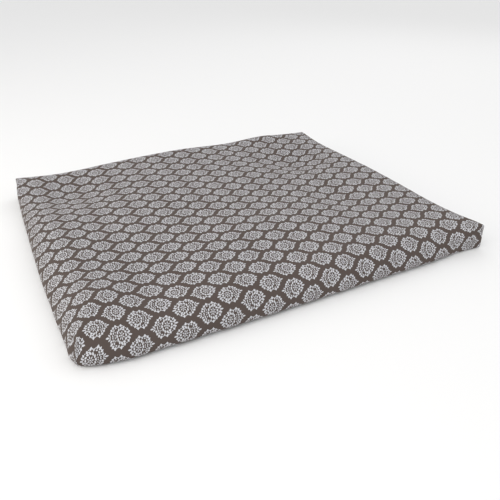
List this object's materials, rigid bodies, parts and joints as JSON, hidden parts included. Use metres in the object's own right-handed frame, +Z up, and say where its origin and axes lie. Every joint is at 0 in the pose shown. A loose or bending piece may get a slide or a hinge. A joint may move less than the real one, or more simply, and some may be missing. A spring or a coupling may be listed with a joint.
{
  "type": "pet cushion bed",
  "caption": "Flat rectangular padded bed for a pet: foam and wadding in a liner, inside a removable printed cover with boxed corners and a zip low on the rear side.",
  "frame": {"origin": "on the floor under the middle of the bed", "axes": "+X along the long side, +Y to the rear, where the zip is, +Z up"},
  "size_m": [0.91, 0.77, 0.063],
  "materials": {
    "printed_cloth": "soft brushed woven polyester, taupe ground with a pale scroll medallion print",
    "base_cloth": "plain woven polyester, dark taupe",
    "liner_cloth": "thin spunbonded polypropylene, off-white",
    "wadding": "bonded polyester fibre, white",
    "foam": "open-cell polyurethane foam, pale cream",
    "zip_tape": "woven herringbone polyester tape, taupe",
    "zip_coil": "satin nylon monofilament coil, taupe",
    "zip_metal": "lacquered zinc casting, dark grey"
  },
  "bodies": {
    "cushion": {"cover_printed_panel": "printed_cloth", "cover_base_panel": "base_cloth", "liner_top": "liner_cloth", "liner_base": "liner_cloth", "wadding_wrap": "wadding", "wadding_base": "wadding", "foam_core": "foam", "zip_tape_upper": "zip_tape", "zip_tape_lower": "zip_tape", "zip_coil_upper": "zip_coil", "zip_coil_lower": "zip_coil", "zip_top_stop_upper": "zip_metal", "zip_top_stop_lower": "zip_metal", "zip_bottom_stop": "zip_metal"},
    "slider": {"zip_slider": "zip_metal"},
    "pull": {"zip_pull": "zip_metal"}
  },
  "joints": [
    {"name": "slider_slide", "type": "slide", "parent": "cushion", "child": "slider", "axis": [-1, 0, 0], "range_m": [0, 0.6284]},
    {"name": "pull_swing", "type": "hinge", "parent": "slider", "child": "pull", "pos_m": [0.3142, 0.38245, 0.0206], "axis": [0, 0, -1], "range_deg": [0, 180]}
  ]
}
